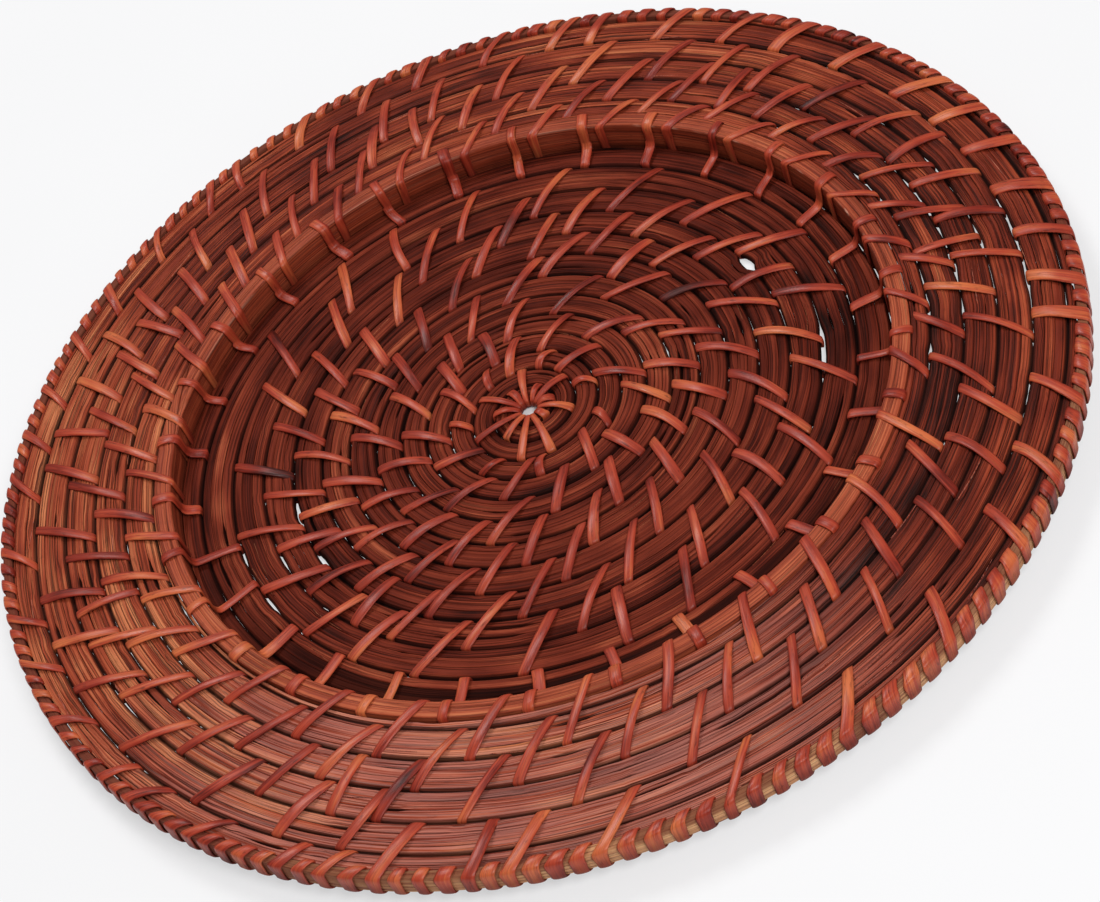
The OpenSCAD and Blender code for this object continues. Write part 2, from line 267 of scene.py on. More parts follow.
def plan_edge(lacing, through, in_rim):
    """Long loops over the last turn of the rim, and short wraps between them round the hoop alone"""
    last = [a for a in in_rim if a >= (RIM.turns - 1.5) * TURN]
    gaps = spaces(last, last[0] + TURN)
    longs = [a - TURN for a in filled(last, gaps, widest_spaces(gaps, EDGE_LONGS - len(last)))]
    gaps = spaces(longs, longs[0] + TURN)
    lacing["edge_lacing"], lacing["edge_wrap"] = [], []
    for i, a in enumerate(longs):
        slant, after = RIM_SLANT * gaps[i], RIM_SLANT * gaps[(i + 1) % len(longs)]
        inner = RIM.place(a)
        lacing["edge_lacing"].append(loop((WRAP_R, inner[1] - slant, 0), inner, "edge"))
        through["rim"].append(a)
        through["rim_end"].append(inner[1] - slant * EDGE_CROSSING)
        start, run = a - slant, gaps[i] + slant - after
        pieces = max(1, nearest(run * EDGE_WRAPS / TURN))
        for m in range(1, pieces):
            angle = RIM.twist + start + run * m / pieces
            reach = (WRAP_R - RIM_END) / (WRAP_R - RIM.radius(a + run * m / pieces))
            inner = (RIM_END, angle + reach * (slant * (pieces - m) + after * m) / pieces, 0)
            lacing["edge_wrap"].append(loop((WRAP_R, angle, 0), inner, "wrap"))
            through["rim_end"].append(inner[1])


def plan_lacing():
    """Every loop by the node it belongs to, and where the cane passes through the seams"""
    well, rim = well_rounds(), rim_rounds()
    in_well = [a for places in well for a in places]
    in_rim = [a for places in rim for a in places]
    lacing, through = {}, dict(well=in_well[:], rim=in_rim[:], well_end=[], rim_begin=[], rim_end=[])
    plan_well(lacing, through, well, in_well)
    plan_ties(lacing, through, rim[0], in_well)
    plan_rim(lacing, through, rim[1:], in_rim)
    plan_edge(lacing, through, in_rim)
    return lacing, through


LACING, THROUGH = plan_lacing()


# Small tools of the bench

DRIFT_KNOTS = 4096
DRIFT_START = 64


def smooth(x):
    x = np.clip(x, 0, 1)
    return x * x * (3 - 2 * x)


def drift(seed, step):
    """A wandering line between -1 and 1 along a length, with a new value at each step"""
    knots = np.random.default_rng(seed).uniform(-1, 1, DRIFT_KNOTS)

    def at(x):
        x = np.asarray(x, float) / step + DRIFT_START
        whole = np.floor(x).astype(int)
        part = smooth(x - whole)
        return knots[whole % DRIFT_KNOTS] * (1 - part) + knots[(whole + 1) % DRIFT_KNOTS] * part
    return at


def facing(angle, towards, half_spread, reach=1.5):
    """1 where the plate faces one way, easing to 0 at the reach in half spreads"""
    away = np.abs((angle - towards + HALF) % TURN - HALF)
    return smooth(reach - away / half_spread)


def unit(vectors):
    return vectors / np.linalg.norm(vectors, axis=1)[:, None]


def heading(degrees):
    """One step from the middle towards this angle"""
    return np.array([math.cos(math.radians(degrees)), math.sin(math.radians(degrees))])


def across_strip(values, around):
    """Each station's value, given to every point round the strip"""
    return np.repeat(values[:, None], around, 1)


def spread_out(columns, stations):
    """The radius, height and painted shade of each point round a strip, all three at every station"""
    return (np.stack([np.broadcast_to(c[n], stations.shape) for c in columns], 1) for n in range(3))


def on_plate(r, angle, z):
    """Points at these radii and heights, a row for each station's angle in degrees"""
    turn = np.radians(angle)[:, None]
    return np.stack([r * np.cos(turn), r * np.sin(turn), z], -1)


def laid_out(rings, along, own):
    """Each point as if the strip lay flat: across it, along it, and the strip's own number"""
    count, around = rings.shape[:2]
    step = np.linalg.norm(rings - np.roll(rings, 1, axis=1), axis=-1)
    step[:, 0] = 0
    return np.stack([np.cumsum(step, 1), across_strip(along, around), np.full((count, around), own)], -1)


class Stock:
    """Swept strips gathered into one mesh, with what the finish needs to know at each point"""

    def __init__(self):
        self.points, self.faces, self.lay, self.marks, self.count = [], [], [], [], 0

    def strip(self, rings, lay, marks, closed=False):
        """rings: stations x points round the strip x 3, in mm. marks: tone, painted shade and stain, and
        wear and painted sheen of each point
        """
        stations, around = rings.shape[:2]
        last = stations if closed else stations - 1
        i, j = np.meshgrid(np.arange(last), np.arange(around), indexing="ij")
        after, beside = (i + 1) % stations, (j + 1) % around
        quads = [i * around + j, i * around + beside, after * around + beside, after * around + j]
        quads = np.stack(quads, -1).reshape(-1, 4)
        points = rings.reshape(-1, 3)
        a, b, c, d = (points[quads[:, n]] for n in range(4))
        reach = a - points.mean(0)
        volume = (np.cross(b - a, c - a) * reach).sum() + (np.cross(c - a, d - a) * reach).sum()
        end = (stations - 1) * around
        caps = [] if closed else [list(range(around))[::-1], list(range(end, end + around))]
        if volume < 0:
            quads = quads[:, ::-1]
            caps = [cap[::-1] for cap in caps]
        self.faces += (quads + self.count).tolist() + [[n + self.count for n in cap] for cap in caps]
        self.points.append(points)
        self.lay.append(lay.reshape(-1, 3))
        self.marks.append(marks.reshape(-1, 3))
        self.count += len(points)

    def piece(self, name, material, slot, *nodes):
        mesh = bpy.data.meshes.new(name)
        mesh.from_pydata((np.concatenate(self.points) * MM).tolist(), [], self.faces)
        for attribute, rows in (("lay", self.lay), ("marks", self.marks)):
            layer = mesh.attributes.new(attribute, "FLOAT_VECTOR", "POINT")
            layer.data.foreach_set("vector", np.concatenate(rows).ravel())
        mesh.polygons.foreach_set("use_smooth", [True] * len(mesh.polygons))
        mesh.materials.append(material)
        made = bpy.data.objects.new(name, mesh)
        bpy.context.scene.collection.objects.link(made)
        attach(made, "root")
        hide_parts(*nodes)


# Shader tools

def shade(*seen):
    """A colour as it is seen, 0 to 255, in the light values that a shader takes"""
    light = (c / 255 / 12.92 if c <= 10 else ((c / 255 + 0.055) / 1.055) ** 2.4 for c in seen)
    return (*light, 1.0)


def put(tree, kind, feeds, **settings):
    """A new node with its settings, and each of its named inputs linked or set"""
    made = tree.nodes.new("ShaderNode" + kind)
    for name, value in settings.items():
        setattr(made, name, value)
    for name, value in feeds.items():
        if isinstance(value, bpy.types.NodeSocket):
            tree.links.new(value, made.inputs[name])
        else:
            made.inputs[name].default_value = value
    return made


def sums(tree, operation, *values, clamp=False):
    return put(tree, "Math", dict(enumerate(values)), operation=operation, use_clamp=clamp).outputs[0]


def times(tree, vector, by):
    return put(tree, "VectorMath", {0: vector, 1: by}, operation="MULTIPLY").outputs[0]


def noise(tree, at, scale, detail=2.0, rough=0.5):
    feeds = {"Vector": at, "Scale": scale, "Detail": detail, "Roughness": rough}
    return put(tree, "TexNoise", feeds).outputs[0]


def spread(tree, value, low, high, to_low=0.0, to_high=1.0):
    feeds = {"Value": value, "From Min": low, "From Max": high, "To Min": to_low, "To Max": to_high}
    return put(tree, "MapRange", feeds).outputs[0]


def blend(tree, share, first, second):
    return put(tree, "Mix", {0: share, 6: first, 7: second}, data_type="RGBA").outputs[2]


def ramp(tree, value, stops, shades):
    made = put(tree, "ValToRGB", {0: value})
    marks = made.color_ramp.elements
    while len(marks) < len(stops):
        marks.new(0.5)
    for mark, at, seen in zip(marks, stops, shades):
        mark.position, mark.color = at, shade(*seen)
    return made.outputs[0]


def new_material(name):
    """A material with its node tree and its shader"""
    material = bpy.data.materials.new(name)
    material.use_nodes = True
    return material, material.node_tree, material.node_tree.nodes["Principled BSDF"]


def effect(name, takes, gives):
    """A node group with these kinds of input and these numbers as outputs"""
    tree = bpy.data.node_groups.new(name, "ShaderNodeTree")
    for socket, kind in takes.items():
        tree.interface.new_socket(name=socket, in_out="INPUT", socket_type="NodeSocket" + kind)
    for socket in gives:
        tree.interface.new_socket(name=socket, in_out="OUTPUT", socket_type="NodeSocketFloat")
    return tree, tree.nodes.new("NodeGroupInput").outputs, tree.nodes.new("NodeGroupOutput").inputs


# Finishes

CRACK_DEPTH = 1.2
SPOT_DRAWN = (0.9, 0.22, 1.0)
SHADES_BEGIN = 0.05
TONE_SHARE = 0.92
STREAK_SHARE = 0.2
DEEPER = 0.06
SHADE_AND_STAIN_COVER = 0.9
STREAK_DULL = 0.12
SHADE_AND_STAIN_DULL = 0.3
COAT_ROUGH = 0.24
RELIEF_STRENGTH = 0.7
# How fine the noise of each is, and the part of its range that shows
FIBRE_SCALE, STREAK_SCALE, CRACK_SCALE, PATCH_SCALE = 1.15, 0.42, 0.52, 38.0
FIBRE_RANGE = (0.34, 0.66)
PATCH_RANGE = (0.35, 0.65)
SPOT_RANGE = (0.58, 0.72)
WEAR_AND_SHEEN_RANGE = (0.25, 0.6)
CRACK_CORE, CRACK_EDGE = 0.007, 0.036


def make_fibre():
    """Long fibres of split cane: fine streaks, broad streaks and thin open cracks along the strip"""
    tree, takes, gives = effect("cane_fibre", {"Lay": "Vector", "Across": "Float", "Along": "Float"},
                                ["Fibre", "Streak", "Crack", "Height"])
    scale = put(tree, "CombineXYZ", {"X": takes["Across"], "Y": takes["Along"], "Z": 1.0}).outputs[0]
    lay = times(tree, takes["Lay"], scale)
    fibre = spread(tree, noise(tree, lay, FIBRE_SCALE, 4.0, 0.6), *FIBRE_RANGE)
    streak = spread(tree, noise(tree, lay, STREAK_SCALE), *FIBRE_RANGE)
    ridge = sums(tree, "SUBTRACT", noise(tree, lay, CRACK_SCALE, 2.0, 0.6), 0.5)
    ridge = sums(tree, "ABSOLUTE", ridge)
    crack = spread(tree, ridge, CRACK_CORE, CRACK_EDGE, 1.0, 0.0)
    height = sums(tree, "SUBTRACT", fibre, sums(tree, "MULTIPLY", crack, CRACK_DEPTH))
    for name, value in (("Fibre", fibre), ("Streak", streak), ("Crack", crack), ("Height", height)):
        tree.links.new(value, gives[name])
    return tree


def make_stain():
    """Stain that took unevenly: soft patches, and small dark spots drawn out along the strip"""
    tree, takes, gives = effect("uneven_stain", {"Lay": "Vector", "Place": "Vector", "Spots": "Float"},
                                ["Patch", "Spot"])
    patch = spread(tree, noise(tree, takes["Place"], PATCH_SCALE, 3.0, 0.55), *PATCH_RANGE)
    small = noise(tree, times(tree, takes["Lay"], SPOT_DRAWN), 1.0, 3.0, 0.7)
    spot = sums(tree, "MULTIPLY", spread(tree, small, *SPOT_RANGE), takes["Spots"])
    tree.links.new(patch, gives["Patch"])
    tree.links.new(spot, gives["Spot"])
    return tree


FIBRE = make_fibre()
STAIN = make_stain()


def stained_cane(name, across, stops, shades, deep, pale, rough, gloss, relief, spots,
                 along=0.014, mottle=0.16, coat=0.0, grain=0.46, lines=0.72):
    """Split cane with stain, its shades from darkest to palest, deep in cracks, spots, painted shade and
    marked stain, and pale where worn and where sheen is painted

    stops are the places of the two middle shades, across and along set how fine the fibres are, relief is
    their depth in mm, and spots, mottle, grain and lines say how much of the spots, patches, fibres and
    cracks shows.
    """
    material, tree, shader = new_material(name)
    lay = put(tree, "Attribute", {}, attribute_name="lay").outputs["Vector"]
    marks = put(tree, "Attribute", {}, attribute_name="marks").outputs["Vector"]
    tone, shade_and_stain, wear_and_sheen = put(tree, "SeparateXYZ", {0: marks}).outputs
    place = put(tree, "TexCoord", {}).outputs["Object"]
    fibre = put(tree, "Group", {"Lay": lay, "Across": across, "Along": along}, node_tree=FIBRE).outputs
    stain = put(tree, "Group", {"Lay": lay, "Place": place, "Spots": spots}, node_tree=STAIN).outputs

    value = sums(tree, "MULTIPLY", tone, TONE_SHARE - grain)
    value = sums(tree, "MULTIPLY_ADD", fibre["Fibre"], grain, value)
    value = sums(tree, "SUBTRACT", value, mottle / 2 + DEEPER)
    value = sums(tree, "MULTIPLY_ADD", fibre["Streak"], STREAK_SHARE, value)
    value = sums(tree, "MULTIPLY_ADD", stain["Patch"], mottle, value)
    colour = ramp(tree, value, (SHADES_BEGIN, *stops, 1.0), shades)
    # The deep shade goes into cracks and spots, and where painted shade and stain are marked
    for cover in (sums(tree, "MULTIPLY", fibre["Crack"], lines), stain["Spot"],
                  sums(tree, "MULTIPLY", shade_and_stain, SHADE_AND_STAIN_COVER)):
        colour = blend(tree, cover, colour, shade(*deep))
    # Pale where the cane is worn, and where a sheen is painted
    pale_wear_and_sheen = sums(tree, "MULTIPLY", wear_and_sheen, spread(tree, fibre["Fibre"], *WEAR_AND_SHEEN_RANGE), clamp=True)
    tree.links.new(blend(tree, pale_wear_and_sheen, colour, shade(*pale)), shader.inputs["Base Color"])

    dull = sums(tree, "MULTIPLY", shade_and_stain, SHADE_AND_STAIN_DULL)
    dull = sums(tree, "ADD", sums(tree, "MULTIPLY", fibre["Streak"], STREAK_DULL), dull)
    tree.links.new(sums(tree, "ADD", dull, rough), shader.inputs["Roughness"])
    if coat:
        tree.links.new(sums(tree, "MULTIPLY", stain["Patch"], coat), shader.inputs["Coat Weight"])
        shader.inputs["Coat Roughness"].default_value = COAT_ROUGH
    shader.inputs["Specular IOR Level"].default_value = gloss
    feeds = {"Height": fibre["Height"], "Strength": RELIEF_STRENGTH, "Distance": relief * MM}
    tree.links.new(put(tree, "Bump", feeds).outputs[0], shader.inputs["Normal"])
    return material


WELL_CANE = stained_cane(
    "well_cane_stain", across=2.1, stops=(0.4, 0.7),
    shades=((26, 5, 2), (96, 32, 19), (134, 54, 35), (184, 96, 64)), deep=(13, 4, 3), pale=(176, 122, 88),
    rough=0.54, gloss=0.07, relief=0.12, spots=0.3, grain=0.25, lines=0.62)
# The rim's pale shade shows mostly as the painted sheen on its near side
RIM_CANE = stained_cane(
    "rim_cane_stain", across=2.3, stops=(0.38, 0.68),
    shades=((34, 7, 3), (122, 42, 24), (170, 74, 45), (214, 128, 84)), deep=(17, 5, 3), pale=(210, 146, 134),
    rough=0.48, gloss=0.13, relief=0.16, spots=0.35, grain=0.3, lines=0.78)
HOOP_WOOD = stained_cane(
    "step_hoop_stain", across=1.9, stops=(0.42, 0.72),
    shades=((60, 18, 10), (144, 57, 34), (184, 88, 56), (210, 126, 82)), deep=(30, 9, 6),
    pale=(226, 172, 146), rough=0.46, gloss=0.16, relief=0.12, spots=0.35, grain=0.4, lines=0.5)
EDGE_WOOD = stained_cane(
    "edge_hoop_bare", across=1.4, along=0.02, stops=(0.45, 0.75),
    shades=((132, 84, 52), (212, 150, 102), (230, 178, 126), (236, 198, 150)), deep=(104, 38, 24),
    pale=(214, 184, 140), rough=0.5, gloss=0.3, relief=0.1, spots=0.4)
LACING_CANE = stained_cane(
    "lacing_cane_gloss", across=1.3, along=0.05, stops=(0.32, 0.6),
    shades=((66, 18, 12), (140, 42, 27), (178, 67, 43), (212, 112, 64)), deep=(46, 12, 8),
    pale=(214, 158, 112), rough=0.36, gloss=0.2, relief=0.05, spots=0.6, mottle=0.4, coat=0.24,
    grain=0.28, lines=0.24)


# Seams between the turns, and beside the hoops

CLOSED_GAP = 0.06
UNEVEN_GAP = 0.04
OPEN_GAP = 0.7
STRAY_GAP = 0.5
LOOSE_GAP = 0.85
NEAR_GAP = 0.7
HOOP_REACH = 0.42
HUB_SIDE = 0.3
OPEN_HALF = 1.3
OPEN_EASE = 1.6
LOOSE_EASE = 6.0
SEAM_STEP = 0.5
LOOSE_SIDE = (6, 44)
NEAR_SIDE = (250, 42)
# Wider slots of the well: the radius and angle of each, half its run, and how much wider it is
SLOTS = ((82.9, 13.2, 3.4, 3.0), (87.4, 341.4, 11.0, 1.3), (70.6, 179.0, 5.5, 1.0), (71.0, 196.0, 4.5, 0.85),
         (90.5, 183.5, 3.5, 0.65), (91.1, 197.0, 4.0, 0.75), (80.7, 189.5, 3.5, 0.5))


def openness(angles, radii, posts, full_circle, ease=OPEN_EASE):
    """How far a seam stands open at each place, 1 where a loop passes through it"""
    away = np.subtract.outer(angles, posts)
    if full_circle:
        away = (away + HALF) % TURN - HALF
    away = np.abs(np.radians(away)) * radii[:, None]
    return (1 - smooth((away - OPEN_HALF) / ease)).max(1)


def half_widths(angles, shut, opened, period=None, reach=0.0):
    """Half the width of a seam at its top edges, and down its walls where the lacing wants room"""
    shut = shut - 2 * reach
    walls = np.maximum(shut, CLOSED_GAP - 2 * reach + (OPEN_GAP - CLOSED_GAP) * opened)
    return [lambda a, w=w: np.interp(a, angles, w, period=period) / 2 for w in (shut, walls)]


def worked_loose(angle, length, seed):
    """The turns of the rim have come apart a little beside the loops on one side of the plate"""
    return LOOSE_GAP * smooth(0.35 + 1.8 * drift(seed + 8, 13.0)(length)) * facing(angle, *LOOSE_SIDE)


def coil_seam(coil, posts, seed):
    angles = np.arange(-TURN, (coil.turns + 1.2) * TURN, SEAM_STEP)
    radii = np.maximum(coil.free_radius(angles), 2.0)
    length = np.cumsum(np.radians(SEAM_STEP) * radii)
    shut = CLOSED_GAP + UNEVEN_GAP * drift(seed, 11.0)(length)
    shut = shut + STRAY_GAP * smooth(5 * drift(seed + 5, 7.0)(length) - 3.9)
    for radius, angle, half_run, wider in SLOTS if coil is WELL else ():
        places = (angle - coil.twist) % TURN + np.arange(0, coil.turns) * TURN
        place = places[np.argmin(np.abs(coil.free_radius(places) - radius))]
        away = np.radians(np.abs(angles - place)) * radii
        shut = shut + wider * (1 - smooth((away - half_run * 0.55) / (half_run * 0.6)))
    opened = openness(angles, radii, posts, False) * (0.62 + 0.38 * drift(seed + 7, 17.0)(length))
    if coil is RIM:
        loose = worked_loose(angles + coil.twist, length, seed)
        shut = shut + loose * openness(angles, radii, posts, False, LOOSE_EASE)
    return half_widths(angles, shut, opened)


def hoop_seam(radius, posts, seed):
    angles = np.arange(0, TURN, SEAM_STEP)
    length, radii = np.radians(angles) * radius, np.full(len(angles), radius)
    shut = CLOSED_GAP + UNEVEN_GAP * drift(seed, 13.0)(length)
    if radius == RIM_END:
        shut = shut + worked_loose(angles, length, seed) * openness(angles, radii, posts, True, LOOSE_EASE)
    apart = facing(angles, *NEAR_SIDE) if radius == RIM_BEGIN else np.zeros(len(angles))
    shut = shut + NEAR_GAP * apart
    return half_widths(angles, shut, openness(angles, radii, posts, True), TURN, HOOP_REACH * (1 - apart))


def hub_seam():
    return [lambda a: np.full(np.shape(a), HUB_SIDE)] * 2


# Splints of the two coils

SPLINTS = ("inner", "middle", "outer")
LINE_HALF = 0.008
SPLINT_STEP = 2.0
LEAST_BEND = 9.0
SEAM_SLOPE = 0.5
SEAM_EASE = 0.34
SEAM_GROOVE = 0.2
LINE_EASE = 0.12
EDGE_SHARE = 0.2
WALL_SHARE = 0.15
FOOT = 0.4
WAIST = 1.3
SHOULDER = 0.5
TAPER_W = 0.5
SETTLE = 0.52
SINK = 0.16
RIBBON_CROWN = 0.5
SPLINT_CROWN = 0.14
SPLIT_DEPTH = 0.26
SPLINTER_RUN = 8
# Sides of the plate where light and shade are painted into the colour: where each faces, and half its spread
RIM_PAINTED_SHEEN = (249, 38)
RIM_PAINTED_LIGHT = (178, 38)
RIM_PAINTED_SHADE = (335, 50)
RIM_NEAR_PAINTED_SHADE = (300, 28)
WELL_PAINTED_SHADE = (350, 45)
WELL_PAINTED_SHADOW = (258, 62)


def splint_rings(walls, edges, angle, bottom, top_at, dips, grooves):
    """A splint at each station: flat below, sides that lean in above, shallow splits along the top"""
    (low, high), (near, far) = walls, edges
    wide = far - near

    def side(wall, edge, groove, inward):
        ease, depth, shade_and_stain = groove
        ease = np.minimum(ease, EDGE_SHARE * wide) * inward
        return [(wall + ease, bottom, 0.5), (wall, bottom + FOOT, 0.9), (wall, bottom + WAIST, 1.0),
                (wall * 0.4 + edge * 0.6, top_at(edge) - depth - SHOULDER, 0.95),
                (edge + ease * 0.3, top_at(edge) - depth, shade_and_stain), (edge + ease, top_at(edge + ease), 0.0)]

    # The third value of each point is painted shade: under the splint, down its walls, at the bottom of its
    # grooves and in its splits
    columns = [((near + far) / 2, bottom, 0.4)] + side(low, near, grooves[0], 1)
    for share, depth in dips:
        middle = near + wide * share
        half = np.minimum(0.1, 0.06 * wide)
        columns += [(middle - half, top_at(middle - half), 0.0),
                    (middle, top_at(middle) - depth, 0.8 * smooth(depth / 0.25)),
                    (middle + half, top_at(middle + half), 0.0)]
    columns += side(high, far, grooves[1], -1)[::-1]
    r, z, shade_and_stain = spread_out(columns, angle)
    return on_plate(r, angle, z), shade_and_stain


def splint_top(top, inner, ribbon, low, high, drop, lean):
    """The height of a splint at a radius: crowned with the whole turn, and a little more by itself"""
    def height(r):
        across = (r - inner) / ribbon * 2 - 1
        part = (r - (low + high) / 2) / np.maximum(high - low, 0.5)
        return top - drop - RIBBON_CROWN * np.abs(across) ** 3 - SPLINT_CROWN * part * part - lean * part * 2
    return height


def splinter(stock, rng, low, high, angle, top_at):
    """A thin fibre that has come away from a splint, lying aslant with one end lifted"""
    s = np.linspace(0, 1, len(angle))
    r = low + (high - low) * (rng.uniform(0.2, 0.8) + rng.uniform(-0.5, 0.5) * s)
    z = top_at(r) - 0.1 + 0.5 * s * s * rng.uniform(0.3, 1.0)
    half = rng.uniform(0.16, 0.3) * (1 - 0.7 * s)
    ring = np.array([(r - half, z), (r, z + 0.2 * (1 - 0.6 * s)), (r + half, z), (r, z - 0.12)])
    rings = on_plate(ring[:, 0].T, angle, ring[:, 1].T)
    shape = rings.shape[:2]
    lay = np.stack([rings[..., 0], across_strip(s * 20, len(ring)), np.full(shape, rng.uniform(0, 90))], -1)
    marks = np.stack([np.full(shape, rng.uniform(0.4, 0.95)), np.zeros(shape), np.full(shape, 0.3)], -1)
    stock.strip(rings, lay, marks)


def paint_light_and_shade(coil, r, angle, tone, shade_and_stain):
    """Painted light and shade: a painted sheen, painted light and painted shade on the rim by side, and in
    the well painted shade on one side and a painted shadow beside the step hoop
    """
    if coil is RIM:
        # Painted sheen on the near side of the rim: paler, with the pale shade laid on
        pale_wear_and_sheen = 0.4 * facing(angle, *RIM_PAINTED_SHEEN)
        # Painted light on the rim towards 178 degrees
        tone = tone + 0.8 * pale_wear_and_sheen + 0.38 * facing(angle, *RIM_PAINTED_LIGHT)
        # Painted shade on the rim towards 335 and 300 degrees
        tone = tone - 0.12 * facing(angle, *RIM_PAINTED_SHADE) - 0.12 * facing(angle, *RIM_NEAR_PAINTED_SHADE)
        return tone, shade_and_stain, pale_wear_and_sheen[:, None] * (1 - shade_and_stain)
    # Painted shade on the well's side towards 350 degrees, more towards the outside
    tone = tone - 0.14 * facing(angle, *WELL_PAINTED_SHADE) * smooth((r - 50) / 30)
    # A painted shadow on the well's outer turn beside the step hoop, on the near side
    painted_shadow = 0.85 * facing(angle, *WELL_PAINTED_SHADOW) * smooth((r - 98.5) / 3)
    return tone, np.maximum(shade_and_stain, painted_shadow[:, None]), np.zeros(shade_and_stain.shape)


def coil_stations(coil):
    """Even steps along the strip, from a turn before its start, in degrees"""
    stations = [-TURN]
    while stations[-1] < coil.turns * TURN:
        r = max(float(coil.free_radius(stations[-1] + HALF)), LEAST_BEND)
        stations.append(stations[-1] + math.degrees(SPLINT_STEP / r))
    return np.array(stations)


def lay_coil(coil, part, material, bottom, top, inside, outside, seed, split, splinters):
    """The splints of a coil side by side between its seams, each cut off where it tapers out"""
    seam = coil_seam(coil, THROUGH[part], seed)
    a = coil_stations(coil)
    begin, end, round_plate = coil.free_radius(a), coil.free_radius(a + TURN), a + coil.twist
    inner, inner_wall = (begin + half(a) for half in seam)
    outer, outer_wall = (end - half(a + TURN) for half in seam)
    least, least_wall = (coil.first + half(round_plate) for half in inside)
    most, most_wall = (coil.last - half(round_plate) for half in outside)
    ribbon = outer - inner
    along = np.cumsum(np.radians(np.diff(a, prepend=a[0])) * np.maximum((inner + outer) / 2, 3))

    def wander(own, run):
        return drift(seed + own, run)(along)

    count = len(SPLINTS)
    sink = SINK + SINK * wander(1, 34.0)
    lines = [inner + ribbon * (edge / count + 0.045 * wander(10 + edge, 70.0)) for edge in range(count + 1)]
    tight = [0.5 + 0.5 * wander(15 + edge, 45.0) for edge in range(count + 1)]
    parted = [0.02 + 0.5 * smooth(4 * wander(25 + edge, 16.0) - 2.7) for edge in range(count + 1)]
    for j, side in enumerate(SPLINTS):
        first, last = j == 0, j == count - 1
        low = np.clip(inner if first else lines[j] + LINE_HALF, least, most)
        high = np.clip(outer if last else lines[j + 1] - LINE_HALF, least, most)
        wide = high - low
        kept = np.where(wide > TAPER_W)[0]
        keep = slice(kept[0], kept[-1] + 1)
        low_wall = np.clip(inner_wall if first else low, least_wall, most_wall)
        high_wall = np.clip(outer_wall if last else high, least_wall, most_wall)
        low_wall = np.minimum(low_wall, low + WALL_SHARE * wide)
        high_wall = np.maximum(high_wall, high - WALL_SHARE * wide)
        near = low + np.minimum(SEAM_SLOPE if first else parted[j], EDGE_SHARE * wide)
        far = high - np.minimum(SEAM_SLOPE if last else parted[j + 1], EDGE_SHARE * wide)
        drop = sink + SETTLE + 0.1 * wander(20 + j, 30.0)
        lean = 0.08 * wander(30 + j, 40.0)
        # Each groove: its ease, its depth, and the painted shade at its bottom
        grooves = [(SEAM_EASE, SEAM_GROOVE, 0.55) if at_seam else
                   (LINE_EASE, (0.03 + 0.17 * tight[edge])[keep], 0.5 * tight[edge][keep])
                   for edge, at_seam in ((j, first), (j + 1, last))]
        dips = [((middle + 0.1 * wander(40 + n + j, run))[keep],
                 SPLIT_DEPTH * smooth(split + 1.1 * wander(60 + n + j, 24.0))[keep])
                for n, middle, run in ((0, 0.32, 90.0), (10, 0.68, 80.0))]
        cut = [c[keep] for c in (inner, ribbon, low, high, drop, lean)]
        angle = round_plate[keep]
        rings, shade_and_stain = splint_rings((low_wall[keep], high_wall[keep]), (near[keep], far[keep]), angle,
                                   bottom, splint_top(top, *cut), dips, grooves)
        lay = laid_out(rings, along[keep], seed + 7.3 * j)
        tone = 0.5 + 0.34 * wander(80 + j, 55.0)[keep] + 0.16 * wander(90 + j, 9.0)[keep]
        tone, shade_and_stain, wear_and_sheen = paint_light_and_shade(coil, (low + high)[keep] / 2, angle, tone, shade_and_stain)
        stock = Stock()
        stock.strip(rings, lay, np.stack([across_strip(tone, rings.shape[1]), shade_and_stain, wear_and_sheen], -1))
        rng = np.random.default_rng(seed + 300 + j)
        for _ in range(splinters):
            at = int(rng.integers(40, len(angle) - 12))
            few = slice(at, at + SPLINTER_RUN)
            few_top = splint_top(top, *(c[few] for c in cut))
            splinter(stock, rng, low[keep][few], high[keep][few], angle[few], few_top)
        stock.piece("%s_cane_%s" % (part, side), material, part + "_cane", "%s_splint_%s" % (part, side))


lay_coil(WELL, "well", WELL_CANE, LACE, WELL_TOP, inside=hub_seam(),
         outside=hoop_seam(WELL_END, THROUGH["well_end"], 3), seed=100, split=-0.25, splinters=7)
lay_coil(RIM, "rim", RIM_CANE, RIM_LOW, RIM_TOP,
         inside=hoop_seam(RIM_BEGIN, THROUGH["rim_begin"], 4),
         outside=hoop_seam(RIM_END, THROUGH["rim_end"], 5), seed=300, split=0.1, splinters=14)


# Hoops

SCARF_L = 36.0
SCARF_GAP = 0.12
STEP_SCARF_AT = 150.0
EDGE_SCARF_AT = 24.0
BEND_STEP = 1.1
HOOP_EASE = 0.5
CHIPPED = (20, 26, 1.6)
STEP_RUBBED = (95, 60)
EDGE_BARE = (282, 42)
# Points round a hoop, counted from the middle of its underside
INNER_FACE = [3, 4]
INNER_EDGE = [5, 6]
TOP = slice(7, 12)
TOP_SPLIT = 9
OUTER_EDGE = 12


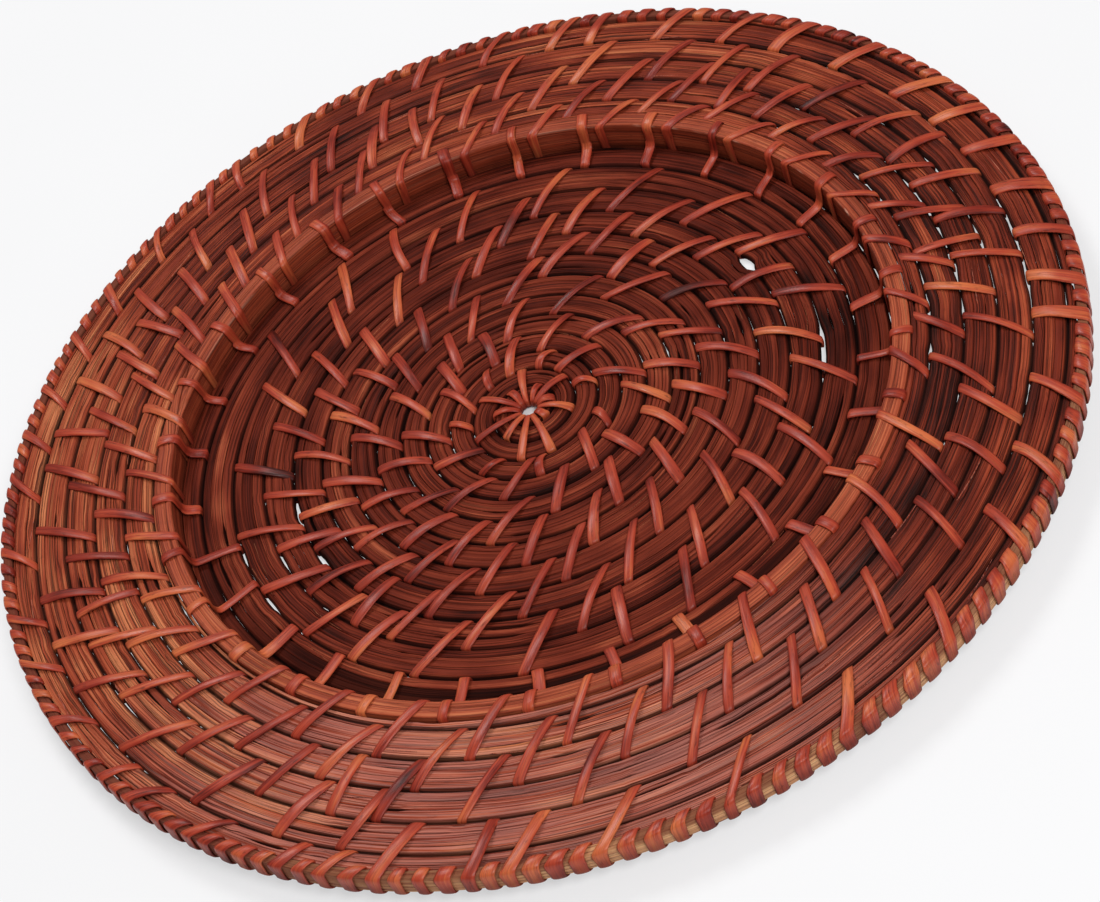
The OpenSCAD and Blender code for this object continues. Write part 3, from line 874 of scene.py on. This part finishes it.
def bend_hoop(name, node, inner, outer, bottom, top, scarf_at, material, slot, seed, rub):
    """A strip bent round, its ends cut to a long slant and laid together"""
    middle, wide = (inner + outer) / 2, outer - inner
    half = math.degrees(SCARF_L / 2 / middle)
    phi = np.arange(-half, TURN + half + 0.01, BEND_STEP)

    def slant(p):
        return middle - np.radians(p) * middle / (SCARF_L / 2) * wide / 2

    low = np.clip(slant(phi) + SCARF_GAP, inner, outer - 0.2)
    high = np.clip(slant(phi - TURN) - SCARF_GAP, inner + 0.2, outer)
    along = np.radians(phi + half) * middle
    tops = top - (0.07 + 0.07 * drift(seed, 30.0)(along))
    ease = np.minimum(HOOP_EASE, 0.3 * (high - low))
    dip = 0.16 * smooth(0.5 + drift(seed + 2, 25.0)(along))
    seam = low + (high - low) * (0.45 + 0.12 * drift(seed + 3, 60.0)(along))
    # The third value of each point is painted shade: under the hoop, low on its sides and in the split along
    # its top
    columns = [((low + high) / 2, bottom, 0.3), (low + ease, bottom, 0.3), (low, bottom + ease, 0.25),
               (low, bottom * 0.5 + tops * 0.5, 0.0), (low, tops - 2 * ease, 0.0), (low, tops - ease, 0.0),
               (low + ease * 0.3, tops - ease * 0.3, 0.0), (low + ease, tops, 0.0),
               (seam - 0.15, tops, 0.0), (seam, tops - dip, 0.8), (seam + 0.15, tops, 0.0),
               (high - ease, tops, 0.0), (high - ease * 0.3, tops - ease * 0.3, 0.0),
               (high, tops - ease, 0.0), (high, (bottom + tops) / 2, 0.1), (high, bottom + ease, 0.3),
               (high - ease, bottom, 0.3)]
    r, z, shade_and_stain = spread_out(columns, phi)
    shade_and_stain[:, TOP_SPLIT] *= smooth(dip / 0.12)
    rings = on_plate(r, phi + scarf_at, z)
    tone = across_strip(0.55 + 0.22 * drift(seed + 4, 48.0)(along), len(columns))
    wear_and_sheen, tone, shade_and_stain = rub(phi + scarf_at, z, along, tone, shade_and_stain)
    stock = Stock()
    stock.strip(rings, laid_out(rings, along, float(seed)), np.stack([tone, shade_and_stain, wear_and_sheen], -1))
    stock.piece(name, material, slot, node)


def rub_step(angle, z, along, tone, shade_and_stain):
    """Pale chips along the upper edges, most on the far right, and a soft rub on the far side; the top is
    painted lighter and the inner face darker, as painted light and shade
    """
    chips = smooth((drift(501, 2.1)(along) - 0.45) * 3) * (0.1 + 0.9 * facing(angle, *CHIPPED))
    edge = np.zeros(z.shape)
    edge[:, INNER_EDGE] = 1
    edge[:, OUTER_EDGE] = 0.5
    # Painted light on the top and painted shade on the inner face
    painted_lit_top_shaded_face = np.zeros(z.shape)
    painted_lit_top_shaded_face[:, INNER_FACE] = -0.04
    painted_lit_top_shaded_face[:, TOP] = 0.14
    far = 0.3 * facing(angle, *STEP_RUBBED) * smooth(0.5 + drift(503, 12.0)(along))
    return edge * np.maximum(chips, far)[:, None], tone + painted_lit_top_shaded_face, shade_and_stain


def rub_edge(angle, z, along, tone, shade_and_stain):
    """Stain on top and round most of the plate, bare cane below it on the near side, with a little of the
    hoop's painted shade kept
    """
    line = EDGE_HOOP_H * 0.18 * drift(601, 14.0)(along)[:, None]
    stain = smooth((z - (RIM_TOP - 1.6) + line) / 1.4)
    bare = facing(angle, *EDGE_BARE) * smooth(1.1 + drift(605, 20.0)(along))
    # A little of the hoop's painted shade, under the stain
    stained = np.maximum(shade_and_stain * 0.4, stain * 0.9)
    return np.zeros(z.shape), tone, np.maximum(stained, 1.05 * (1 - bare)[:, None])


bend_hoop("step_hoop_bent", "step_hoop", WELL_R, STEP_HOOP_R, LACE, RIM_TOP, STEP_SCARF_AT,
          HOOP_WOOD, "hoop_wood", 700, rub_step)
bend_hoop("edge_hoop_bent", "edge_hoop", EDGE_HOOP_R - EDGE_HOOP_W, EDGE_HOOP_R, RIM_TOP - EDGE_HOOP_H,
          RIM_TOP, EDGE_SCARF_AT, EDGE_WOOD, "edge_wood", 750, rub_edge)


# Lacing

ARCH = 1.55
ARCH_SPREAD = (-0.12, 0.2)
BOW = (-0.5, 0.9)
WRAP_BOW = (-0.1, 0.1)
HUB_BOW = 0.3
HUB_CLOSE = 0.6
HUB_FULLER = 1.2
HUB_END = 30.0
DARK_LOOPS = 0.05
# Painted light on the edge loops and painted shade on the well's loops: where each faces, and half its
# spread
EDGE_PAINTED_LIGHT = (12, 55)
WELL_LOOPS_PAINTED_SHADE = (340, 60)
# The section of the cane: across it in half widths, and out from it in half thicknesses
CROWN = ((-1.0, 0.15), (-0.86, 0.62), (-0.45, 0.93), (0.0, 1.0), (0.45, 0.93), (0.86, 0.62), (1.0, 0.15),
         (0.9, -0.55), (0.55, -1.0), (-0.55, -1.0), (-0.9, -0.55))
# Fuller cane at the edge: how much, how much more on which side, and how it thins towards the middle
FULLER = {"wrap": (1.26, 0.28, (338, 72), 0.2), "edge": (1.2, 0.27, (0, 60), 0.16)}


def eased(path):
    """A closed outline with its corners cut twice, so that stiff cane turns in a small bend"""
    for _ in range(2):
        after = np.roll(path, -1, axis=0)
        path = np.stack([path * 0.75 + after * 0.25, path * 0.25 + after * 0.75], 1).reshape(-1, 2)
    return path


def over(end, low, top, drop):
    """Down a seam, across the top in an arch, and back: distance from the outer seam and height"""
    foot = top - drop - 0.55
    return [(0, low), (0, foot), (0.02 * end, top - drop + 0.1), (0.22 * end, top - 0.34 * drop),
            (0.5 * end, top + 0.02), (0.78 * end, top - 0.34 * drop), (0.98 * end, top - drop + 0.1),
            (end, foot), (end, low)]


def outline(made, end, sag):
    """The closed outline of one loop in the upright plane through its two ends"""
    low = CANE_T / 2
    top, rim_top = WELL_TOP + LACE - low, RIM_TOP + LACE - low
    rim_low, edge_low = RIM_LOW - LACE + low, RIM_TOP - EDGE_HOOP_H - LACE + low
    kind, outer, inner = made["kind"], made["outer"][0], made["inner"][0]
    per = end / (outer - inner)

    def below(*points):
        """Points this far below the highest cane"""
        return [(x, rim_top - drop) for x, drop in points]

    if kind == "hub":
        return over(end, low, top, sag * 0.8)
    if kind == "flat":
        return over(end, low, top, sag) if outer < WELL_R else over(end, rim_low, rim_top, sag)
    if kind == "wrap":
        return [(0, edge_low), (0, (edge_low + rim_top) / 2),
                *below((0, 0.9), (0.12 * end, 0.15), (0.5 * end, -0.05), (0.88 * end, 0.2), (end, 0.9)),
                (end, edge_low)]
    if kind == "edge":
        side = (WRAP_R - RIM_END) * per
        return [(0, edge_low), (0, (edge_low + rim_top) / 2),
                *below((0, 1.1), (0.04 * end, 0.25), (0.3 * end, -0.02), (0.65 * end, 0.12)),
                *below((0.95 * end, sag - 0.1), (end, sag + 0.5)),
                (end, rim_low), (side, rim_low), (side, edge_low)]
    if kind == "hoop":
        side = (outer - WELL_END) * per
        return [(0, low), (0, (low + rim_top) / 2), *below((0, 1.0), (0.1 * side, 0.2)),
                *below((0.45 * side, -0.05), (0.86 * side, 0.35), (side + 0.1, 1.4)),
                (side + 0.25, top + 3.4), (side + 0.9, top + 1.0), (side + 2.2, top + 0.1),
                (end * 0.97, top - 0.55), (end, top - 1.2), (end, low)]
    side = (outer - RIM_BEGIN) * per
    return [(0, rim_low), *below((0, sag + 0.5), (0.03 * end, sag - 0.1), (0.24 * end, 0.3)),
            *below((0.55 * end, -0.05), (0.86 * end, 0.2), (0.99 * end, 0.8), (end, 2.2)),
            (end, (low + rim_top) / 2), (end, low), (side, low), (side, rim_low)]


def bend_loop(made, rng):
    """The middle line of a loop, the way it lies across, how far along each point is, and how far up"""
    (outer, first, first_lean), (inner, last, last_lean) = made["outer"], made["inner"]
    kind = made["kind"]
    if kind == "hub":
        inner -= HUB_CLOSE
    start, end = outer * heading(first), inner * heading(last)
    length = np.linalg.norm(end - start)
    sag = ARCH + rng.uniform(*ARCH_SPREAD)
    path = eased(np.array(outline(made, length, sag)))
    run, z = path[:, 0], path[:, 1]
    s = np.clip(run / length, 0, 1)
    upper = smooth((z - z.min()) / (z.max() - z.min()) * 1.4 - 0.3)
    if kind == "hoop":
        past_step = (outer - WELL_END) * length / (outer - inner) + 0.6
        upper = np.maximum(upper, smooth((z - WELL_TOP + 1.4) / 1.2) * (run > past_step))
    bow = rng.uniform(*(WRAP_BOW if kind == "wrap" else BOW)) * (HUB_BOW if kind == "hub" else 1)
    first_side, last_side = heading(first + 90 - first_lean), heading(last + 90 - last_lean)
    side = unit(first_side * (1 - s[:, None]) + last_side * s[:, None])
    hooks = rng.uniform(-0.5, 0.5, 2) if kind != "wrap" else (0, 0)
    ends = hooks[0] * (1 - s) ** 4 + hooks[1] * s ** 4
    shift = (4 * s * (1 - s) * bow + ends + rng.uniform(-0.12, 0.12)) * upper
    flat = start + (end - start) * (run / length)[:, None] + side * shift[:, None]
    return np.column_stack([flat, z]), side, s, upper


def cane_width(made, s, upper, rng):
    """Cane differs from loop to loop, swells where it crosses the top, and is fuller at the edge"""
    outer, inner = made["widths"]
    width = (outer * (1 - s) + inner * s) * (1 + rng.uniform(-0.1, 0.08))
    if made["kind"] == "hub":
        width = width * HUB_FULLER
    if made["kind"] in FULLER:
        fuller, more, towards, thinner = FULLER[made["kind"]]
        more = more * facing(made["outer"][1], *towards)
        width = width * (fuller + more + rng.uniform(-0.16, 0.12) - thinner * s)
    return width * (1 + upper * (rng.uniform(0.04, 0.3) + 0.06 * np.sin(s * 5 + rng.uniform(0, 6))))


def cane_tone(made, rng):
    """Loops differ: a few are dark, the hub is bright, the edge has painted light on one side, and the well
    is darker, with painted shade on one side
    """
    (r, angle, _), kind = made["outer"], made["kind"]
    tone = min(max(rng.normal(0.58, 0.11), 0.3), 0.85)
    if rng.uniform() < DARK_LOOPS:
        tone = rng.uniform(0.22, 0.34)
    if kind == "hub":
        tone = max(tone + 0.08, 0.6)
    if kind == "edge":
        # Painted light on the edge loops on one side
        tone += 0.18 * facing(angle, *EDGE_PAINTED_LIGHT)
    if HUB_END < r < WELL_R:
        # Darker in the well, with painted shade on one side
        tone -= 0.1 + 0.08 * facing(angle, *WELL_LOOPS_PAINTED_SHADE)
    return tone


def lace(stock, made, rng):
    centre, side, s, upper = bend_loop(made, rng)
    ahead = unit(np.roll(centre, -1, axis=0) - np.roll(centre, 1, axis=0))
    across = unit(np.column_stack([side, rng.uniform(-0.1, 0.1) * upper]))
    out = unit(np.cross(across, ahead))
    if (out * (centre - centre.mean(0))).sum() < 0:
        out = -out
    width = cane_width(made, s, upper, rng)
    x, h = np.array(CROWN).T
    wide = x * width[:, None] / 2
    rings = centre[:, None] + across[:, None] * wide[..., None] + out[:, None] * (h * CANE_T / 2)[:, None]
    rings[..., 2] = np.clip(rings[..., 2], 0, RIM_TOP + LACE)
    along = np.cumsum(np.linalg.norm(centre - np.roll(centre, 1, axis=0), axis=1)) + rng.uniform(0, 900)
    lay = np.empty(rings.shape)
    lay[..., 0] = wide + h * 0.4
    lay[..., 1] = along[:, None]
    lay[..., 2] = rng.uniform(0, 90)
    tone = cane_tone(made, rng)
    wave = 0.17 * np.sin(s * rng.uniform(2, 6) + rng.uniform(0, 6))
    marks = np.zeros(rings.shape)
    # A painted highlight along the crown of each loop, and painted shade on its legs down in the seams and
    # along its sides
    marks[..., 0] = (tone + wave)[:, None] + 0.08 * (1 - np.abs(x))
    marks[..., 1] = (1 - upper)[:, None] * 0.55 + 0.25 * (np.abs(x) > 0.9)
    stock.strip(rings, lay, marks, closed=True)


for number, (node, loops) in enumerate(LACING.items()):
    rng = np.random.default_rng(900 + number)
    stock = Stock()
    for made in loops:
        lace(stock, made, rng)
    stock.piece(node + "_cane", LACING_CANE, "lacing_cane", node)


# Floor, light and camera, in metres

FLOOR_HALF = 4.0
FLOOR_SHADES = (247, 247, 248), (249, 249, 250)
FLOOR_CLOUDS = 6.0
FLOOR_ROUGH = 0.9
FLOOR_GLOSS = 0.1
FLOOR_GLOW = 0.6
GLOW_GROWS = (0.5, 1.6)
# The glow kept under the hub, cut down as painted shade, and where it is cut
HUB_GLOW = 0.05
HUB_SHADE = (0.01, 0.02)
SKY_LIGHT = 0.25
CAMERA_FAR = 0.7343
CAMERA_RISE = 44.342
CAMERA_PAN = 0.0354
CAMERA_TILT = -1.608
CAMERA_ROLL = -24.615
CAMERA_LENS = 82.11
CAMERA_SENSOR = 36.0
# Each lamp: its place, what it is aimed at, the side of its square, and its power
LAMPS = {"key": ((0.3, -0.66, 0.98), (0, 0, 0), 0.45, 7.9),
         "back": ((-0.15, 0.6, 1.0), (0, -0.1, 0), 0.4, 6.2)}


def make_floor():
    """Pale paper that keeps the shadow, with a glow that only the camera sees, faint under the hub as
    painted shade
    """
    mesh = bpy.data.meshes.new("floor")
    corners = [(x * FLOOR_HALF, y * FLOOR_HALF, 0) for x, y in ((-1, -1), (1, -1), (1, 1), (-1, 1))]
    mesh.from_pydata(corners, [], [(0, 1, 2, 3)])
    floor = bpy.data.objects.new("floor", mesh)
    bpy.context.scene.collection.objects.link(floor)
    material, tree, shader = new_material("floor_paper")
    place = put(tree, "TexCoord", {}).outputs["Object"]
    colour = ramp(tree, noise(tree, place, FLOOR_CLOUDS), (0.3, 0.7), FLOOR_SHADES)
    shader.inputs["Roughness"].default_value = FLOOR_ROUGH
    shader.inputs["Specular IOR Level"].default_value = FLOOR_GLOSS
    tree.links.new(colour, shader.inputs["Base Color"])
    seen = put(tree, "LightPath", {}).outputs["Is Camera Ray"]
    plain = put(tree, "Emission", {"Color": colour, "Strength": 1.0})
    away = put(tree, "VectorMath", {0: place}, operation="LENGTH").outputs["Value"]
    share = sums(tree, "MULTIPLY", seen, spread(tree, away, *GLOW_GROWS, FLOOR_GLOW, 1.0))
    # Painted shade on the floor under the hub: the glow there is cut down
    share = sums(tree, "MULTIPLY", share, spread(tree, away, *HUB_SHADE, HUB_GLOW, 1.0))
    shown = put(tree, "MixShader", {0: share, 1: shader.outputs[0], 2: plain.outputs[0]})
    tree.links.new(shown.outputs[0], tree.nodes["Material Output"].inputs["Surface"])
    mesh.materials.append(material)


def set_up(made, right, up, back, place):
    """Puts a lamp or the camera at its place, looking away from its back"""
    bpy.context.scene.collection.objects.link(made)
    made.matrix_world = Matrix([*zip(right, up, back, place), (0, 0, 0, 1)])


def make_lamp(name, place, aim, size, power):
    data = bpy.data.lights.new(name, "AREA")
    data.shape, data.size, data.energy = "SQUARE", size, power
    back = np.subtract(place, aim)
    back /= np.linalg.norm(back)
    side = np.cross((0, 0, 1), back)
    side /= np.linalg.norm(side)
    set_up(bpy.data.objects.new(name, data), side, np.cross(back, side), back, place)


def make_sky():
    world = bpy.data.worlds.new("studio")
    bpy.context.scene.world = world
    world.use_nodes = True
    tree = world.node_tree
    sky = tree.nodes["Background"]
    sky.inputs["Color"].default_value = (1, 1, 1, 1)
    seen = put(tree, "LightPath", {}).outputs["Is Camera Ray"]
    tree.links.new(spread(tree, seen, 0.0, 1.0, SKY_LIGHT, 1.0), sky.inputs["Strength"])


def swung(first, second, degrees):
    """Two directions at right angles, both turned in their own plane"""
    keep, swing = heading(degrees)
    return first * keep + second * swing, second * keep - first * swing


def make_camera():
    """Looks down on the plate from the near side, rolled so that it leans up to the right"""
    data = bpy.data.cameras.new("camera")
    data.sensor_fit, data.sensor_width, data.lens = "HORIZONTAL", CAMERA_SENSOR, CAMERA_LENS
    data.clip_start, data.clip_end = 0.02, 30.0
    rise = math.radians(CAMERA_RISE)
    place = np.array([0, -math.cos(rise), math.sin(rise)]) * CAMERA_FAR
    ahead = -place / np.linalg.norm(place)
    right = np.array([1.0, 0, 0])
    up = np.cross(right, ahead)
    ahead, right = swung(ahead, right, CAMERA_PAN)
    ahead, up = swung(ahead, up, CAMERA_TILT)
    right, up = swung(right, up, CAMERA_ROLL)
    camera = bpy.data.objects.new("camera", data)
    set_up(camera, right, up, -ahead, place + (0, 0, RIM_TOP * MM))
    bpy.context.scene.camera = camera


make_floor()
for name, lamp in LAMPS.items():
    make_lamp(name, *lamp)
make_sky()
make_camera()
bpy.context.scene.view_settings.view_transform = "Standard"
